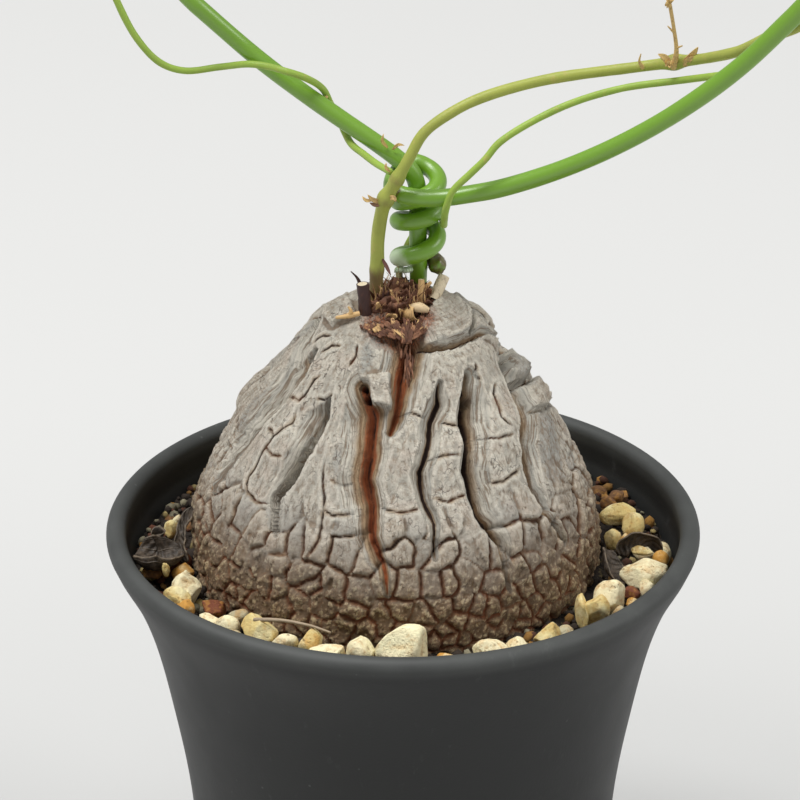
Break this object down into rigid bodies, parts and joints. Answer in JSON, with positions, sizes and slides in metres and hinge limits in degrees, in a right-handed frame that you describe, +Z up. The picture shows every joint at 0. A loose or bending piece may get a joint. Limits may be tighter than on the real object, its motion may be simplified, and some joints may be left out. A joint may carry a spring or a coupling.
{
  "type": "potted tortoise plant",
  "caption": "Potted tortoise plant: a corky tuber cracked into plates in a deep nursery pot of grit, its thin shoots trained up a ring of coated wire.",
  "frame": {"origin": "middle of the pot's base, on the surface that it stands on", "axes": "+Z up; the front, as pictured, looks along +Y, with the higher arm of the wire to the left (-X)"},
  "size_m": [0.1868, 0.1067, 0.341],
  "materials": {
    "pot_plastic": "matte charcoal, faintly scuffed and dusty",
    "grit": "cream, ochre and grey stones over brown grit",
    "bark": "matte corky plates, grey-tan with rust-brown cracks",
    "crown_fibre": "dry red-brown fibres and pale cut stubs",
    "wire_coating": "glossy green coating, worn at the tight bends",
    "shoot_green": "smooth satin olive green",
    "leaf_green": "thin satin leaves with curved veins",
    "litter": "dry, curled and brittle"
  },
  "bodies": {
    "root": {"pot": "pot_plastic", "growing_mix": "grit", "tuber": "bark", "crown": "crown_fibre", "support_wire": "wire_coating", "main_shoot": "shoot_green", "left_shoot": "shoot_green", "thin_shoot": "shoot_green", "leafy_shoot_right_low": "leaf_green", "leafy_shoot_right_high": "leaf_green", "leafy_shoot_top": "leaf_green", "leafy_shoot_left_low": "leaf_green", "leafy_shoot_left_high": "leaf_green", "leafy_shoot_left_tip": "leaf_green", "dry_leaf_left": "litter", "dry_leaf_right": "litter", "dry_leaf_right_low": "litter", "dry_stalk": "litter"}
  },
  "joints": []
}
